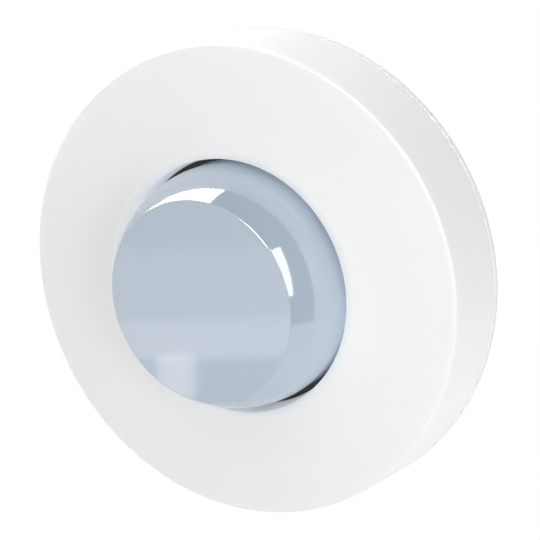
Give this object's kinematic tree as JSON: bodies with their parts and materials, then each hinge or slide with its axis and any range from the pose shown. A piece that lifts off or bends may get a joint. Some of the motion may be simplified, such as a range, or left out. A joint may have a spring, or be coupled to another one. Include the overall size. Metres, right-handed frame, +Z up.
{
  "type": "presence detector",
  "caption": "Round wall or ceiling presence detector: flat-faced white ring cover around a flat-fronted blue-grey dome lens, on a screw-slotted base plate.",
  "frame": {"origin": "centre of the flat mounting face, midway between the wall-box screw slots", "axes": "+Y into the wall, -Y out through the lens to the front, +Z up, +X to the right seen from the front"},
  "size_m": [0.103, 0.0266, 0.103],
  "materials": {
    "cover_white": "satin moulded white",
    "base_white": "fine matt moulded white",
    "housing_white": "fine matt moulded light grey",
    "lens_plastic": "polished milky blue-grey",
    "seat_dark": "matt black, light-tight",
    "seal_black": "soft matt black",
    "carrier_dark": "matt black",
    "board_green": "solder-masked laminate",
    "screw_steel": "zinc-plated steel",
    "can_steel": "nickel-plated can",
    "window_dark": "polished filter",
    "guide_clear": "clear moulded light guide",
    "lamp_white": "lamp package",
    "sensor_black": "optical package",
    "switch_black": "moulded switch body",
    "button_red": "polished red",
    "dial_blue": "polished blue",
    "trimmer_grey": "moulded trimmer body",
    "slider_white": "moulded slider",
    "terminal_red": "moulded red",
    "terminal_grey": "moulded dark grey",
    "chip_black": "moulded package",
    "capacitor_metal": "drawn can",
    "coil_dark": "ferrite shield"
  },
  "bodies": {
    "base": {"base_plate": "base_white", "circuit_board": "board_green", "board_screws": "screw_steel", "inner_housing": "housing_white", "lens": "lens_plastic", "lens_seat": "seat_dark", "lens_seal": "seal_black", "sensor_carrier": "carrier_dark", "sensor_windows": "window_dark", "light_guide": "guide_clear", "status_lamp": "lamp_white", "light_sensor": "sensor_black", "button_switch": "switch_black", "mode_switch": "switch_black", "terminal_negative": "terminal_grey", "terminal_positive": "terminal_red", "controller_chip": "chip_black", "bus_chip": "chip_black", "crystal": "can_steel", "capacitors": "capacitor_metal", "coil": "coil_dark", "time_trimmer": "trimmer_grey", "lux_trimmer": "trimmer_grey", "heat_sensor_1": "can_steel", "heat_sensor_2": "can_steel", "heat_sensor_3": "can_steel", "heat_sensor_4": "can_steel"},
    "cover": {"cover_ring": "cover_white"},
    "button": {"programming_button": "button_red"},
    "time_control": {"time_dial": "dial_blue"},
    "lux_control": {"lux_dial": "dial_blue"},
    "mode_control": {"mode_slider": "slider_white"}
  },
  "joints": [
    {"name": "cover_lift", "type": "slide", "parent": "base", "child": "cover", "axis": [0, -1, 0], "range_m": [0, 0.03]},
    {"name": "button_press", "type": "slide", "parent": "base", "child": "button", "axis": [0, 1, 0], "range_m": [0, 0.0006], "stiffness_N_per_m": 600, "springref_m": -0.0004},
    {"name": "time_turn", "type": "hinge", "parent": "base", "child": "time_control", "pos_m": [-0.00648, -0.011, 0.03673], "axis": [0, -1, 0], "range_deg": [-135, 135]},
    {"name": "lux_turn", "type": "hinge", "parent": "base", "child": "lux_control", "pos_m": [0.00648, -0.011, 0.03673], "axis": [0, -1, 0], "range_deg": [-135, 135]},
    {"name": "mode_slide", "type": "slide", "parent": "base", "child": "mode_control", "axis": [1, 0, 0], "range_m": [0, 0.002]}
  ]
}
